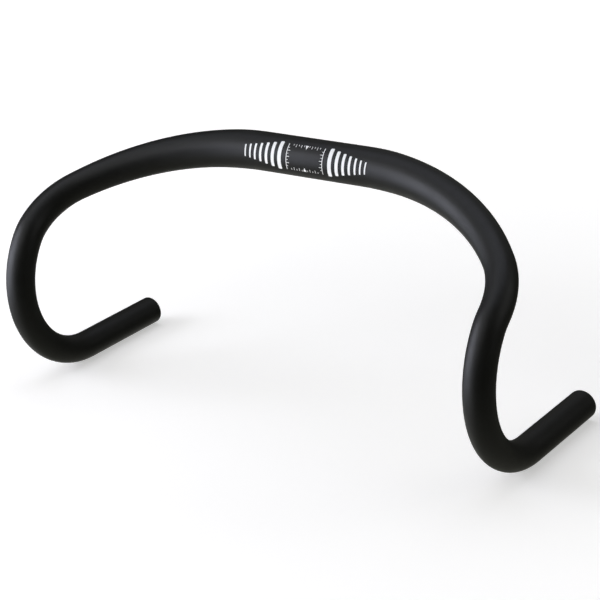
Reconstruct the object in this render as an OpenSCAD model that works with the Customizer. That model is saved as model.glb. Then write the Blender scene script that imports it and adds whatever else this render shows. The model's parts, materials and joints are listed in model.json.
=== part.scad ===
// Drop handlebar for a track bicycle: one bent alloy tube, thick where the stem grips it and
// drawn down to grip size along its two top bends. X runs across the bicycle, -Y is forward,
// +Z is up, and the origin is the centre of the stem clamp.

/* [Overall size] */
// Width between the centre lines of the two drops
width = 430; // [400:1:460]
// Height of the clamp centre above the centre line of the grips
drop = 182; // [165:1:200]

/* [Tube] */
// Outer diameter at the stem clamp
clamp_d = 31.7; // [30:0.1:35]
// Outer diameter of the shoulders, drops and grips
grip_d = 23.8; // [22:0.1:25.4]
// Wall thickness of the tube
wall = 2; // [1.4:0.1:3]
// Bevel on the inner and outer edges of each open end
rim_bevel = 0.5; // [0.2:0.1:0.6]

/* [Clamp zone] */
// Length of the straight middle part, which the stem grips
clamp_length = 95; // [70:1:110]
// Length of each top bend that still has the diameter of the clamp
full_size_run = 20; // [5:1:60]

/* [Top bends] */
// Angle that each top bend turns through
top_turn = 50; // [45:1:55]
// Slope of the top bends below level, towards the front
top_slope = 27.5; // [20:0.5:35]

/* [Shoulders] */
// Bend radius of the shoulder, at the centre line
shoulder_r = 70; // [60:1:80]
// Slope below level at which the tube leaves the shoulder
shoulder_exit = 37; // [30:1:45]

/* [Drops] */
// Bend radius of the short tighter bend that starts the drop
neck_r = 40; // [30:1:60]
// Angle that this tighter bend turns through
neck_turn = 17; // [8:1:25]
// Straight length of each grip, from the drop's bend to the open end
grip_length = 88; // [60:1:140]

/* [Hidden] */
$fn = 96;

// Angle by which the shoulder's exit is steeper than the top bend
steepening = shoulder_exit - top_slope;
// The shoulder turns from the end of the top bend into the upright plane of the drop
shoulder_turn = acos(sin(top_turn) * cos(steepening));
// Roll about the tube from the plane of the top bend to the plane of the shoulder
shoulder_roll = atan2(tan(steepening), cos(top_turn));
// Roll about the tube from the plane of the shoulder to the plane of the drop
drop_roll = atan2(cos(top_turn), sin(top_turn) * sin(steepening));
// The hook carries on from the neck's slope until the tube is level and points back
hook_start = shoulder_exit + neck_turn;
hook_turn = 180 - hook_start;
// Length of the two tangents of the shoulder bend
shoulder_tangent = shoulder_r * tan(shoulder_turn / 2);
// The width sets the radius of the top bends
top_r = (width / 2 - clamp_length / 2 - shoulder_tangent * cos(top_turn)) / sin(top_turn);
// Height lost along the top bend, the shoulder and the neck, and the hook that makes up the drop
top_fall = top_r * (1 - cos(top_turn)) * sin(top_slope);
shoulder_fall = shoulder_tangent * (sin(top_turn) * sin(top_slope) + sin(shoulder_exit));
neck_fall = neck_r * (cos(shoulder_exit) - cos(hook_start));
hook_r = (drop - top_fall - shoulder_fall - neck_fall) / (1 + cos(hook_start));

// Flat sides round the tapered tube, rings along it, and flat sides round its bore
taper_sides = 36;
taper_rings = 20;
bore_sides = 24;
// Where two lengths of tube meet, what joins them stands this proud of them at the joint, and
// sinks into them along a short cone that ends this far on and this far under the surface
proud = 0.02;
sink_run = 1.5;
sink_depth = 0.15;
// Each bend stops this far short of the next length of tube, inside a collar this wide
bend_gap = 0.2;
collar_width = 1;
// The bore is cut this far past each open end
cut = 1;

// Angle of a bend that some length along its centre line takes up
function turn_along(run, bend_r) = run / bend_r * 180 / PI;

// Arc at the start of the top bend that keeps the diameter of the clamp
full_size_turn = turn_along(full_size_run, top_r);

// Radius of the tapered tube after some angle of the top bend, less an inset
function taper_radius(turn, inset) =
    let(run = (turn - full_size_turn) / (top_turn - full_size_turn))
    let(share = min(max(run, 0), 1))
    (clamp_d + (grip_d - clamp_d) * share) / 2 - inset;

// A point of the tapered tube: turn is along the bend, around is about the tube's own axis
function taper_point(turn, around, r) =
    let(reach = top_r + r * cos(around))
    [top_r - reach * cos(turn), r * sin(around), reach * sin(turn)];

// Carries its children to the end of a bend that starts at the origin along +Z, towards +X
module after_bend(bend_r, turn) {
    translate([bend_r, 0, 0])
        rotate([0, turn, 0])
            translate([-bend_r, 0, 0])
                children();
}

// Solid round bar along such a bend
module bend(bend_r, turn, r) {
    translate([bend_r, 0, 0])
        mirror([1, 0, 0])
            rotate([90, 0, 0])
                rotate_extrude(angle = turn - turn_along(bend_gap, bend_r))
                    translate([bend_r, 0])
                        circle(r);
}

// Solid collar about the origin that joins two lengths of tube of one radius
module collar(r) {
    half = collar_width / 2;
    rotate_extrude()
        polygon([
            [0, -half - sink_run],
            [r - sink_depth, -half - sink_run],
            [r + proud, -half],
            [r + proud, half],
            [r - sink_depth, half + sink_run],
            [0, half + sink_run]
        ]);
}

// Solid tapered bar along the top bend, sunk a little into the clamp zone and the shoulder
module tapered_bend(inset, sides) {
    sink = turn_along(sink_run, top_r);
    // Corners this much further out bring the flat sides to the round radius
    corner = 1 / cos(180 / sides);
    along = [for (i = [0 : taper_rings]) top_turn * i / taper_rings];
    turns = concat([-sink], along, [top_turn + sink]);
    radii = concat(
        [clamp_d / 2 - inset - sink_depth],
        [for (turn = along) (taper_radius(turn, inset) + proud) * corner],
        [grip_d / 2 - inset - sink_depth]
    );
    last_ring = len(turns) - 1;
    points = [for (i = [0 : last_ring], j = [0 : sides - 1])
        taper_point(turns[i], 360 * j / sides, radii[i])];
    skin = [for (i = [0 : last_ring - 1], j = [0 : sides - 1])
        let(a = i * sides, b = a + sides, k = (j + 1) % sides)
        [a + j, a + k, b + k, b + j]];
    start_face = [for (j = [sides - 1 : -1 : 0]) j];
    end_face = [for (j = [0 : sides - 1]) last_ring * sides + j];
    polyhedron(points, concat([start_face], skin, [end_face]));
}

// Solid grip along +Z; the bevel narrows its end, or widens it past the rim if it is below 0
module grip(r, bevel) {
    past = bevel < 0 ? cut : 0;
    rotate_extrude()
        polygon([
            [0, 0],
            [r, 0],
            [r, grip_length - rim_bevel],
            [r - bevel + past, grip_length + past],
            [0, grip_length + past]
        ]);
}

// The shoulder, the neck, the hook and the grip, one after the other
module shoulder_and_drop(r, bevel) {
    bend(shoulder_r, shoulder_turn, r);
    after_bend(shoulder_r, shoulder_turn)
        rotate([0, 0, drop_roll]) {
            collar(r);
            bend(neck_r, neck_turn, r);
            after_bend(neck_r, neck_turn) {
                collar(r);
                bend(hook_r, hook_turn, r);
                after_bend(hook_r, hook_turn) {
                    collar(r);
                    grip(r, bevel);
                }
            }
        }
}

// The bar as a solid rod, from one open end to the other; an inset makes it the bore
module bar(inset, sides, bevel) {
    translate([-clamp_length / 2, 0, 0])
        rotate([0, 90, 0])
            cylinder(r = clamp_d / 2 - inset, h = clamp_length);
    for (side = [0, 1])
        mirror([side, 0, 0])
            translate([clamp_length / 2, 0, 0])
                rotate([top_slope - 90, 0, 0])
                    rotate([0, 90, 0]) {
                        tapered_bend(inset, sides);
                        after_bend(top_r, top_turn)
                            rotate([0, 0, shoulder_roll])
                                shoulder_and_drop(grip_d / 2 - inset, bevel);
                    }
}

module handlebar() {
    color([0.13, 0.13, 0.14])
        difference() {
            bar(0, taper_sides, rim_bevel);
            bar(wall, bore_sides, -rim_bevel);
        }
}

handlebar();
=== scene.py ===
import json
from math import acos, atan2, ceil, cos, pi, radians, sin, tan
from typing import NamedTuple

import bpy
from mathutils import Matrix, Vector


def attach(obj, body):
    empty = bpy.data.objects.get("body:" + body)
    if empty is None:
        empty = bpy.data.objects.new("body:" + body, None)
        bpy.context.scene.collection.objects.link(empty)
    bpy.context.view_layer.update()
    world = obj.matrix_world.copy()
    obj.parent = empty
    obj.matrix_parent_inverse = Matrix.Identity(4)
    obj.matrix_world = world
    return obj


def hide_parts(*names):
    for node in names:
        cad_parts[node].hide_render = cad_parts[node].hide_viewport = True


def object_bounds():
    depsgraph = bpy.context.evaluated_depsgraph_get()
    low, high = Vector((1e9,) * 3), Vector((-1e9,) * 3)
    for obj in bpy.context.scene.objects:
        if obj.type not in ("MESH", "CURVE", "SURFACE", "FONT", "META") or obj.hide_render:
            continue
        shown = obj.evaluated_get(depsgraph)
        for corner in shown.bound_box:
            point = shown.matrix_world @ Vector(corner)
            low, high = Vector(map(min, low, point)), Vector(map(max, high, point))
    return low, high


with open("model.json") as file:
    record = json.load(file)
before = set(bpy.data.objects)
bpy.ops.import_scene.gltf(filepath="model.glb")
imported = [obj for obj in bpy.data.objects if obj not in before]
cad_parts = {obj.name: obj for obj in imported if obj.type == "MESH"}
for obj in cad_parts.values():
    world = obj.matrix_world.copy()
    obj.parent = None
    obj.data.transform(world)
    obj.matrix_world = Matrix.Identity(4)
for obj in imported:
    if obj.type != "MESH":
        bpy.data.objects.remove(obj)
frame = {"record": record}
cad_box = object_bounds()

MM = 0.001

# Sizes of the tube that the record states
MOUNTS = {mount["name"]: mount for mount in frame["record"]["mounts"]}
CLAMP_R = MOUNTS["stem_clamp"]["dims"]["r_mm"] * MM
CLAMP_LENGTH = MOUNTS["stem_clamp"]["dims"]["length_mm"] * MM
GRIP_R = MOUNTS["left_grip"]["dims"]["r_mm"] * MM
WALL = GRIP_R - MOUNTS["left_bar_end"]["dims"]["r_mm"] * MM
HALF_WIDTH = MOUNTS["left_grip"]["pos_m"][0]
DROP = -MOUNTS["left_grip"]["pos_m"][2]

# The rest of the tube's driving sizes, as the part's source has them
FULL_SIZE_RUN = 20 * MM
TOP_TURN = 50
TOP_SLOPE = 27.5
SHOULDER_R = 70 * MM
SHOULDER_EXIT = 37
NECK_R = 40 * MM
NECK_TURN = 17
GRIP_LENGTH = 88 * MM
RIM_BEVEL = 0.5 * MM

# Fineness of the tube's skin, and how far each corner of its taper is eased
SIDES = 96
OUTER_STEP = 2.5 * MM
BORE_STEP = 7.5 * MM
RIM_STEPS = 5
TAPER_EASE = 8 * MM

# The marks stand this far out of the tube and reach as far into it
MARK_LIFT = 0.04 * MM
# Points across each row of a mark: two on its face and two in the tube
ROW_POINTS = 4
# Fineness of the marks and of their round corners, and the angle from which their edges are sharp
MARK_STEP = 1 * MM
CORNER_STEPS = 5
MARK_CREASE = 40
# Height of the middle line of the marks, as an angle above level at the front of the tube
MARK_TILT = 15.5
# The scale in the middle, which centres the bar in the stem
SCALE_HALF = 17 * MM
SCALE_HEIGHT = 22 * MM
SCALE_LINE = 0.5 * MM
TICK_LINE = 0.4 * MM
TICK_GAP = 2.5 * MM
SHORT_TICK = 1.4 * MM
LONG_TICK = 2.6 * MM
POINTER_WIDTH = 3 * MM
POINTER_HEIGHT = 3.4 * MM
POINTER_TIP = 0.08 * MM
# The row of bars on each side of it, each narrower and shorter than the last
BAR_COUNT = 7
BAR_START = 22 * MM
BAR_WIDTH = 3.4 * MM
BAR_HEIGHT = 24 * MM
BAR_GAP = 3.4 * MM
BAR_NARROWING = 0.85
BAR_SHORTENING = 0.86
BAR_CORNER = 0.3


class Finish(NamedTuple):
    """A surface: its darkest and lightest colour, its least and most roughness, and its relief.

    The patches are the size of the changes in colour and roughness, and the grain is the relief's.
    """

    dark: tuple
    light: tuple
    roughness: tuple
    patch: float
    grain: float
    relief: float
    gloss: float


# Satin black coating with a fine blasted grain, the dull inside of the tube, and printed ink
COATING = Finish(
    dark=(0.0016, 0.0017, 0.0012),
    light=(0.003, 0.0031, 0.0024),
    roughness=(0.38, 0.54),
    patch=11 * MM,
    grain=0.8 * MM,
    relief=0.08 * MM,
    gloss=0.35,
)
BORE = Finish(
    dark=(0.06, 0.06, 0.062),
    light=(0.11, 0.11, 0.112),
    roughness=(0.55, 0.7),
    patch=8 * MM,
    grain=1.1 * MM,
    relief=0.02 * MM,
    gloss=0.5,
)
INK = Finish(
    dark=(0.78, 0.78, 0.77),
    light=(0.88, 0.88, 0.87),
    roughness=(0.42, 0.55),
    patch=1.4 * MM,
    grain=0.4 * MM,
    relief=0.002 * MM,
    gloss=0.5,
)

# Finer layers in the noise of each finish
NOISE_DETAIL = 3

# The camera: where it stands, and where the centre of the clamp shows in the picture
PHOTO_SIZE = 600
CAMERA_AZIMUTH = 35.55
CAMERA_ELEVATION = 21.59
CAMERA_ROLL = -3.18
CAMERA_DISTANCE = 1.4816
FOCAL_PIXELS = 1877
ORIGIN_PIXEL = (315.0, 158.7)
SENSOR_WIDTH = 36


class Softbox(NamedTuple):
    """A rectangular light that faces the part.

    Its turn is measured from the camera towards the right of the picture.
    """

    name: str
    turn: float
    elevation: float
    size: tuple
    radiance: float
    colour: tuple


# The lights: a bright key at the left of the picture with two weaker ones by it, three low ones,
# one behind at the right, one above, and a fill at the right
LIGHT_DISTANCE = 1.8
COOL = (0.93, 0.96, 1.1)
NEUTRAL = (1, 1, 1)
WARM = (1.05, 1.06, 0.9)
SOFTBOXES = [
    Softbox("key", -90, 18, (1.1, 1), 5.3, COOL),
    Softbox("key_low", -95, -6, (2.4, 0.9), 2.4, COOL),
    Softbox("key_high", -70, 42, (2.4, 1.4), 0.9, NEUTRAL),
    Softbox("low_left", -110, -45, (2, 1.2), 0.3, NEUTRAL),
    Softbox("low_front", -60, -25, (1.2, 1), 0.55, NEUTRAL),
    Softbox("back_right", 155, 28, (1.6, 1.3), 0.12, NEUTRAL),
    Softbox("low_back", 180, -38, (2, 0.9), 0.35, NEUTRAL),
    Softbox("top", 180, 76, (2, 1.3), 1.25, COOL),
    Softbox("fill", 74, 31, (1.5, 1.3), 0.7, NEUTRAL),
]
# The dim surround, which only lights the part: its strength above, and straight below
SURROUND_ABOVE = 0.06
SURROUND_BELOW = 0.28
# Height of the direction below which it starts to grow, where -1 is straight below and 0 is level
SURROUND_LEVEL = -0.2
# The backdrop that the camera sees, and the floor, whose painted glow grows into it away from the part
WHITE = (1, 1, 1, 1)
BACKDROP = 1
FLOOR_HALF = 12
FLOOR_COLOUR = (0.82, 0.8, 0.76)
FLOOR_ROUGHNESS = 0.9
GLOW_NEAR = 0.45
GLOW_START = 0.3
GLOW_END = 1.6


def bar_lengths():
    """Each length of tube from the clamp centre to the left end, with its bend radius and first roll."""
    top_turn = radians(TOP_TURN)
    top_slope = radians(TOP_SLOPE)
    shoulder_exit = radians(SHOULDER_EXIT)
    steepening = shoulder_exit - top_slope
    shoulder_turn = acos(sin(top_turn) * cos(steepening))
    shoulder_roll = atan2(tan(steepening), cos(top_turn))
    drop_roll = atan2(cos(top_turn), sin(top_turn) * sin(steepening))
    hook_start = shoulder_exit + radians(NECK_TURN)
    shoulder_tangent = SHOULDER_R * tan(shoulder_turn / 2)
    top_r = (HALF_WIDTH - CLAMP_LENGTH / 2 - shoulder_tangent * cos(top_turn)) / sin(top_turn)
    top_fall = top_r * (1 - cos(top_turn)) * sin(top_slope)
    shoulder_fall = shoulder_tangent * (sin(top_turn) * sin(top_slope) + sin(shoulder_exit))
    neck_fall = NECK_R * (cos(shoulder_exit) - cos(hook_start))
    hook_r = (DROP - top_fall - shoulder_fall - neck_fall) / (1 + cos(hook_start))
    return [
        (CLAMP_LENGTH / 2, None, 0),
        (top_r * top_turn, top_r, 0),
        (SHOULDER_R * shoulder_turn, SHOULDER_R, shoulder_roll),
        (NECK_R * radians(NECK_TURN), NECK_R, drop_roll),
        (hook_r * (pi - hook_start), hook_r, 0),
        (GRIP_LENGTH, None, 0),
    ]


LENGTHS = bar_lengths()
HALF_LENGTH = sum(length for length, bend_r, roll in LENGTHS)
TAPER_START = CLAMP_LENGTH / 2 + FULL_SIZE_RUN
TAPER_END = LENGTHS[0][0] + LENGTHS[1][0]


def advance(place, run, bend_r):
    """Moves a place along a straight length or a bend, with X along the tube and Y to the bend's middle."""
    if bend_r is None:
        return place @ Matrix.Translation((run, 0, 0))
    to_middle = Matrix.Translation((0, bend_r, 0))
    return place @ to_middle @ Matrix.Rotation(run / bend_r, 4, "Z") @ to_middle.inverted()


def centre_line(run):
    """Place at a distance from the clamp centre along the centre line of the left side, and its roll."""
    place = Matrix.Rotation(radians(TOP_SLOPE) - pi, 4, "X")
    rolled = 0
    for length, bend_r, roll in LENGTHS:
        here = min(run, length)
        place = advance(place @ Matrix.Rotation(roll, 4, "X"), here, bend_r)
        rolled += roll
        run -= here
    return place, rolled


def ramp_sum(x):
    """Area up to x under a ramp that is 0 up to 0, rises to 1 at 1 and stays there."""
    if x < 0:
        return 0
    return x * x / 2 if x < 1 else x - 0.5


def outer_r(run):
    """Outer radius at a distance from the clamp centre: a straight taper with both of its corners eased."""
    taper = TAPER_END - TAPER_START
    share = (abs(run) - TAPER_START) / taper
    ease = TAPER_EASE / taper
    drawn = (ramp_sum(share + ease) - ramp_sum(share - ease)) / (2 * ease)
    return CLAMP_R + (GRIP_R - CLAMP_R) * drawn


def ring(run, r, angles):
    """Points round the tube at a distance along it and a radius. A run below 0 is on the rider's right."""
    place, rolled = centre_line(abs(run))
    side = -1 if run < 0 else 1
    points = [place @ Vector((0, r * cos(turn - rolled), r * sin(turn - rolled))) for turn in angles]
    return [Vector((side * p.x, p.y, p.z)) for p in points]


def spaced(start, end, step):
    """Evenly spaced numbers from start to end, at most a step apart."""
    count = ceil(abs(end - start) / step)
    return [start + (end - start) * i / count for i in range(count + 1)]


def rim():
    """(run, radius) round the eased rim of the left end, from the outside to the bore."""
    run = HALF_LENGTH - RIM_BEVEL
    outer = GRIP_R - RIM_BEVEL
    inner = GRIP_R - WALL + RIM_BEVEL
    turns = [radians(90) * i / RIM_STEPS for i in range(RIM_STEPS + 1)]
    outside = [(run + RIM_BEVEL * sin(t), outer + RIM_BEVEL * cos(t)) for t in turns]
    inside = [(run + RIM_BEVEL * cos(t), inner - RIM_BEVEL * sin(t)) for t in turns]
    return outside + inside


def tube_profile():
    """(run, radius) along the outside, round the left rim, back through the bore and round the right rim."""
    reach = HALF_LENGTH - RIM_BEVEL
    outside = [(run, outer_r(run)) for run in spaced(-reach, reach, OUTER_STEP)]
    bore = [(run, outer_r(run) - WALL) for run in spaced(reach, -reach, BORE_STEP)]
    left = rim()
    right = [(-run, r) for run, r in reversed(left)]
    return outside[1:-1], left, bore[1:-1], right


def mesh_object(name, points, faces, materials):
    """A smooth mesh object with these materials, in the scene's collection."""
    mesh = bpy.data.meshes.new(name)
    mesh.from_pydata(points, [], faces)
    for material in materials:
        mesh.materials.append(material)
    mesh.shade_smooth()
    piece = bpy.data.objects.new(name, mesh)
    bpy.context.scene.collection.objects.link(piece)
    return piece


def band(here, there, count):
    """Faces between two rings of points, each given by the number of its first point."""
    faces = []
    for j in range(count):
        k = (j + 1) % count
        faces.append((here + j, here + k, there + k, there + j))
    return faces


def make_tube(coating, bare):
    """The whole bent tube with its bore, as one closed skin."""
    outside, left, bore, right = tube_profile()
    profile = outside + left + bore + right
    angles = [2 * pi * i / SIDES for i in range(SIDES)]
    points = [point for run, r in profile for point in ring(run, r, angles)]
    faces = []
    for i in range(len(profile)):
        faces += band(i * SIDES, (i + 1) % len(profile) * SIDES, SIDES)
    tube = mesh_object("bent_tube", points, faces, [coating, bare])
    first = (len(outside) + len(left)) * SIDES
    last = first + len(bore) * SIDES
    for polygon in tube.data.polygons[first:last]:
        polygon.material_index = 1
    return tube


def bar_rows(middle, width, height, level=0, corner=0):
    """Rows of a mark with rounded corners: (height, left, right), from its lower end to its upper end."""
    turns = [radians(90) * i / CORNER_STEPS for i in range(CORNER_STEPS + 1)] if corner else [pi / 2]
    end = [(height / 2 - corner * (1 - cos(t)), width / 2 - corner * (1 - sin(t))) for t in turns]
    straight = height / 2 - corner
    body = [(y, width / 2) for y in spaced(-straight, straight, MARK_STEP)]
    halves = [(-y, half) for y, half in end[:-1]] + body + end[:-1][::-1]
    return [(level + y, middle - half, middle + half) for y, half in halves]


def pointer_rows(base, reach):
    """Rows of a small triangle on the middle line, from a base height to a tip a reach beyond it."""
    rows = []
    for along in spaced(0, reach, MARK_STEP):
        half = (POINTER_WIDTH + (POINTER_TIP - POINTER_WIDTH) * along / reach) / 2
        rows.append((base + along, -half, half))
    return sorted(rows)


def tube_angle(height):
    """Angle round the tube of a height above the marks' middle line, measured over the tube's skin."""
    return -radians(TOP_SLOPE + MARK_TILT) - height / CLAMP_R


def make_marks(name, shapes, material):
    """Thin printed marks that follow the tube's skin, one closed sliver for each shape."""
    points = []
    faces = []
    for rows in shapes:
        first = len(points)
        for height, left, right in rows:
            angles = [tube_angle(height)]
            face = [(left, MARK_LIFT), (right, MARK_LIFT)]
            back = [(right, -MARK_LIFT), (left, -MARK_LIFT)]
            for run, lift in face + back:
                points += ring(run, outer_r(run) + lift, angles)
        last = len(points) - ROW_POINTS
        for here in range(first, last, ROW_POINTS):
            faces += band(here, here + ROW_POINTS, ROW_POINTS)
        faces.append(range(first, first + ROW_POINTS)[::-1])
        faces.append(range(last, last + ROW_POINTS))
    marks = mesh_object(name, points, faces, [material])
    marks.data.set_sharp_from_angle(angle=radians(MARK_CREASE))
    return marks


def ticks(half):
    """Numbers of the ticks on a side of the scale, with 0 in its middle and none near its corners."""
    last = int(half / TICK_GAP - 1)
    return range(-last, last + 1)


def tick_length(number):
    """Length of a tick: every second one is short."""
    return SHORT_TICK if number % 2 else LONG_TICK


def scale_shapes():
    """The scale: a line at each limit, ticks along its four sides, and two pointers at the middle."""
    shapes = []
    for side in (-1, 1):
        shapes.append(bar_rows(side * SCALE_HALF, SCALE_LINE, SCALE_HEIGHT))
        shapes.append(pointer_rows(side * SCALE_HEIGHT / 2, -side * POINTER_HEIGHT))
        for number in ticks(SCALE_HALF):
            if number:
                length = tick_length(number)
                level = side * (SCALE_HEIGHT - length) / 2
                shapes.append(bar_rows(number * TICK_GAP, TICK_LINE, length, level))
        for number in ticks(SCALE_HEIGHT / 2):
            length = tick_length(number)
            middle = side * (SCALE_HALF - (SCALE_LINE + length) / 2)
            shapes.append(bar_rows(middle, length, TICK_LINE, number * TICK_GAP))
    return shapes


def side_shapes(side):
    """The row of bars on one side of the scale."""
    shapes = []
    start = BAR_START
    for i in range(BAR_COUNT):
        width = BAR_WIDTH * BAR_NARROWING ** i
        height = BAR_HEIGHT * BAR_SHORTENING ** i
        shapes.append(bar_rows(side * (start + width / 2), width, height, corner=BAR_CORNER * width))
        start += width + BAR_GAP
    return shapes


def set_inputs(node, values):
    """Gives a node's own sockets these values."""
    for name, value in values.items():
        node.inputs[name].default_value = value


class Nodes:
    """Builds a material's nodes, in the object's own space."""

    def __init__(self, name):
        self.material = bpy.data.materials.new(name)
        self.material.use_nodes = True
        self.tree = self.material.node_tree
        self.shader = self.tree.nodes["Principled BSDF"]
        self.place = self.tree.nodes.new("ShaderNodeTexCoord").outputs["Object"]

    def feed(self, source, socket):
        """Links a value to the shader."""
        self.tree.links.new(source, self.shader.inputs[socket])

    def noise(self, size):
        """Soft noise from about 0 to 1, with features of about a size."""
        node = self.tree.nodes.new("ShaderNodeTexNoise")
        set_inputs(node, {"Scale": 1 / size, "Detail": NOISE_DETAIL})
        self.tree.links.new(self.place, node.inputs["Vector"])
        return node.outputs["Fac"]

    def distance(self):
        """Distance from the object's origin."""
        node = self.tree.nodes.new("ShaderNodeVectorMath")
        node.operation = "LENGTH"
        self.tree.links.new(self.place, node.inputs[0])
        return node.outputs["Value"]

    def spread(self, source, low, high, start=0, end=1):
        """A value brought from one range to another."""
        node = self.tree.nodes.new("ShaderNodeMapRange")
        set_inputs(node, {"From Min": start, "From Max": end, "To Min": low, "To Max": high})
        self.tree.links.new(source, node.inputs["Value"])
        return node.outputs["Result"]

    def colours(self, source, dark, light):
        """A value from 0 to 1 as a colour between two."""
        node = self.tree.nodes.new("ShaderNodeMix")
        node.data_type = "RGBA"
        set_inputs(node, {"A": (*dark, 1), "B": (*light, 1)})
        self.tree.links.new(source, node.inputs["Factor"])
        return node.outputs["Result"]

    def bump(self, source, relief):
        """Relief of this depth in metres."""
        node = self.tree.nodes.new("ShaderNodeBump")
        set_inputs(node, {"Distance": relief})
        self.tree.links.new(source, node.inputs["Height"])
        return node.outputs["Normal"]


def surface(name, finish):
    """The material of a finish: patches in its colour and roughness, and a grain in its relief."""
    nodes = Nodes(name)
    patches = nodes.noise(finish.patch)
    nodes.feed(nodes.colours(patches, finish.dark, finish.light), "Base Color")
    nodes.feed(nodes.spread(patches, *finish.roughness), "Roughness")
    nodes.feed(nodes.bump(nodes.noise(finish.grain), finish.relief), "Normal")
    set_inputs(nodes.shader, {"Specular IOR Level": finish.gloss})
    return nodes.material


def floor_material():
    """White studio floor with a painted glow, weaker near the part and as bright as the backdrop away from
    it.
    """
    nodes = Nodes("studio_white_glow")
    set_inputs(nodes.shader, {
        "Base Color": (*FLOOR_COLOUR, 1),
        "Roughness": FLOOR_ROUGHNESS,
        "Specular IOR Level": 0,
        "Emission Color": WHITE,
    })
    # Painted glow: the floor gives off light of its own, weaker near the part and growing away from it
    glow = nodes.spread(nodes.distance(), GLOW_NEAR, BACKDROP, GLOW_START, GLOW_END)
    nodes.feed(glow, "Emission Strength")
    return nodes.material


def make_floor():
    """A wide level floor under the part's lowest point. The coating mirrors the surround through it."""
    level = cad_box[0].z
    corners = [(-1, -1), (1, -1), (1, 1), (-1, 1)]
    points = [(x * FLOOR_HALF, y * FLOOR_HALF, level) for x, y in corners]
    floor = mesh_object("floor", points, [(0, 1, 2, 3)], [floor_material()])
    floor.visible_glossy = False
    floor.visible_shadow = False


def direction(azimuth, elevation):
    """Unit vector towards an azimuth, 0 in front of the part and 90 at its left, and an elevation."""
    a = radians(azimuth)
    e = radians(elevation)
    return Vector((sin(a) * cos(e), -cos(a) * cos(e), sin(e)))


def make_softbox(box):
    """The light of a softbox, as far from the middle of the part as all of them."""
    light = bpy.data.lights.new(box.name, "AREA")
    light.shape = "RECTANGLE"
    light.size, light.size_y = box.size
    light.energy = box.radiance * pi * light.size * light.size_y
    light.color = box.colour
    lamp = bpy.data.objects.new(box.name, light)
    away = direction(CAMERA_AZIMUTH + box.turn, box.elevation)
    lamp.location = (cad_box[0] + cad_box[1]) / 2 + away * LIGHT_DISTANCE
    lamp.rotation_mode = "QUATERNION"
    lamp.rotation_quaternion = away.to_track_quat("Z", "Y")
    bpy.context.scene.collection.objects.link(lamp)


def make_surround():
    """A dim surround, lighter below than above. What the camera itself sees of it is white."""
    world = bpy.data.worlds.new("surround")
    world.use_nodes = True
    tree = world.node_tree
    place = tree.nodes.new("ShaderNodeTexCoord")
    parts = tree.nodes.new("ShaderNodeSeparateXYZ")
    strength = tree.nodes.new("ShaderNodeMapRange")
    set_inputs(strength, {"From Min": -1, "From Max": SURROUND_LEVEL})
    set_inputs(strength, {"To Min": SURROUND_BELOW, "To Max": SURROUND_ABOVE})
    dim = tree.nodes["Background"]
    set_inputs(dim, {"Color": (*WARM, 1)})
    white = tree.nodes.new("ShaderNodeBackground")
    set_inputs(white, {"Color": WHITE, "Strength": BACKDROP})
    seen = tree.nodes.new("ShaderNodeLightPath")
    mix = tree.nodes.new("ShaderNodeMixShader")
    tree.links.new(place.outputs["Generated"], parts.inputs["Vector"])
    tree.links.new(parts.outputs["Z"], strength.inputs["Value"])
    tree.links.new(strength.outputs["Result"], dim.inputs["Strength"])
    tree.links.new(seen.outputs["Is Camera Ray"], mix.inputs["Fac"])
    tree.links.new(dim.outputs["Background"], mix.inputs[1])
    tree.links.new(white.outputs["Background"], mix.inputs[2])
    tree.links.new(mix.outputs["Shader"], tree.nodes["World Output"].inputs["Surface"])
    bpy.context.scene.world = world


def make_lights():
    """All the softboxes and the surround, seen without a film look."""
    for box in SOFTBOXES:
        make_softbox(box)
    make_surround()
    bpy.context.scene.view_settings.view_transform = "Standard"


def make_camera():
    """The camera of the picture, turned so that the clamp's centre falls on its own pixel."""
    back = direction(CAMERA_AZIMUTH, CAMERA_ELEVATION)
    right = Vector((0, 0, 1)).cross(back).normalized()
    up = back.cross(right)
    roll = radians(CAMERA_ROLL)
    right, up = right * cos(roll) + up * sin(roll), up * cos(roll) - right * sin(roll)
    aside = (ORIGIN_PIXEL[0] - PHOTO_SIZE / 2) / FOCAL_PIXELS * CAMERA_DISTANCE
    below = (ORIGIN_PIXEL[1] - PHOTO_SIZE / 2) / FOCAL_PIXELS * CAMERA_DISTANCE
    data = bpy.data.cameras.new("camera")
    data.sensor_width = SENSOR_WIDTH
    data.lens = FOCAL_PIXELS / PHOTO_SIZE * SENSOR_WIDTH
    camera = bpy.data.objects.new("camera", data)
    place = Matrix((right, up, back)).transposed().to_4x4()
    place.translation = back * CAMERA_DISTANCE - right * aside + up * below
    camera.matrix_world = place
    bpy.context.scene.collection.objects.link(camera)
    bpy.context.scene.camera = camera


def make_part():
    """The tube and its marks, all riding on the one body of the part."""
    tube = make_tube(surface("satin_black_coating", COATING), surface("dull_bore", BORE))
    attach(tube, "root")
    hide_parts("handlebar")
    ink = surface("white_ink", INK)
    rows = {"centring_scale": scale_shapes(), "left_bars": side_shapes(1), "right_bars": side_shapes(-1)}
    for name, shapes in rows.items():
        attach(make_marks(name, shapes, ink), "root")


make_part()
make_floor()
make_lights()
make_camera()
